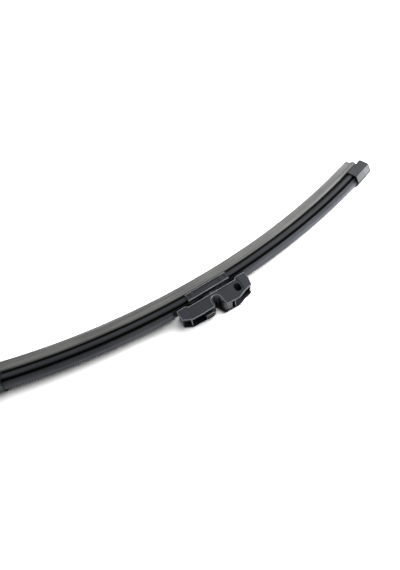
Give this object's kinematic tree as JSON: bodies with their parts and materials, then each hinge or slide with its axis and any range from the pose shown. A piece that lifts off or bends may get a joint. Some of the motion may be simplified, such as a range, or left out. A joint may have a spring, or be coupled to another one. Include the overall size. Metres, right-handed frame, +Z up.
{
  "type": "wiper blade",
  "caption": "Bowed beam wiper blade with a rubber lip, spring rails, finned spoilers, end caps and a rocking clip-on adapter with a release button for a top-lock wiper arm.",
  "frame": {"origin": "middle of the blade's box, on the surface it lies on", "axes": "+X along the blade, +Y towards the wiping lip, -Y towards the wiper arm, +Z up; the blade lies on its side"},
  "size_m": [0.4032, 0.07, 0.016],
  "materials": {
    "wiper_rubber": "matt, fine extrusion streaks along its length",
    "spring_rail": "plain rolled spring steel",
    "spoiler": "satin extruded elastomer, paler towards the fin's tip",
    "connector_base": "fine moulded grain",
    "pivot_pin": "blackened turned steel",
    "adapter": "fine moulded grain",
    "latch_lever": "fine moulded grain",
    "end_cap": "fine moulded grain"
  },
  "bodies": {
    "blade": {"wiper_rubber": "wiper_rubber", "rail_upper": "spring_rail", "rail_lower": "spring_rail", "spoiler_left": "spoiler", "spoiler_right": "spoiler", "connector_base": "connector_base", "pivot_pin": "pivot_pin", "end_cap_left": "end_cap", "end_cap_right": "end_cap"},
    "adapter": {"adapter": "adapter"},
    "latch": {"latch_lever": "latch_lever"}
  },
  "joints": [
    {"name": "adapter_rock", "type": "hinge", "parent": "blade", "child": "adapter", "pos_m": [0, -0.01722, 0.008], "axis": [0, 0, 1], "range_deg": [-5, 5]},
    {"name": "latch_press", "type": "hinge", "parent": "adapter", "child": "latch", "pos_m": [-0.023, -0.02297, 0.008], "axis": [0, 0, 1], "range_deg": [0, 6], "stiffness_Nm_per_rad": 0.4}
  ]
}
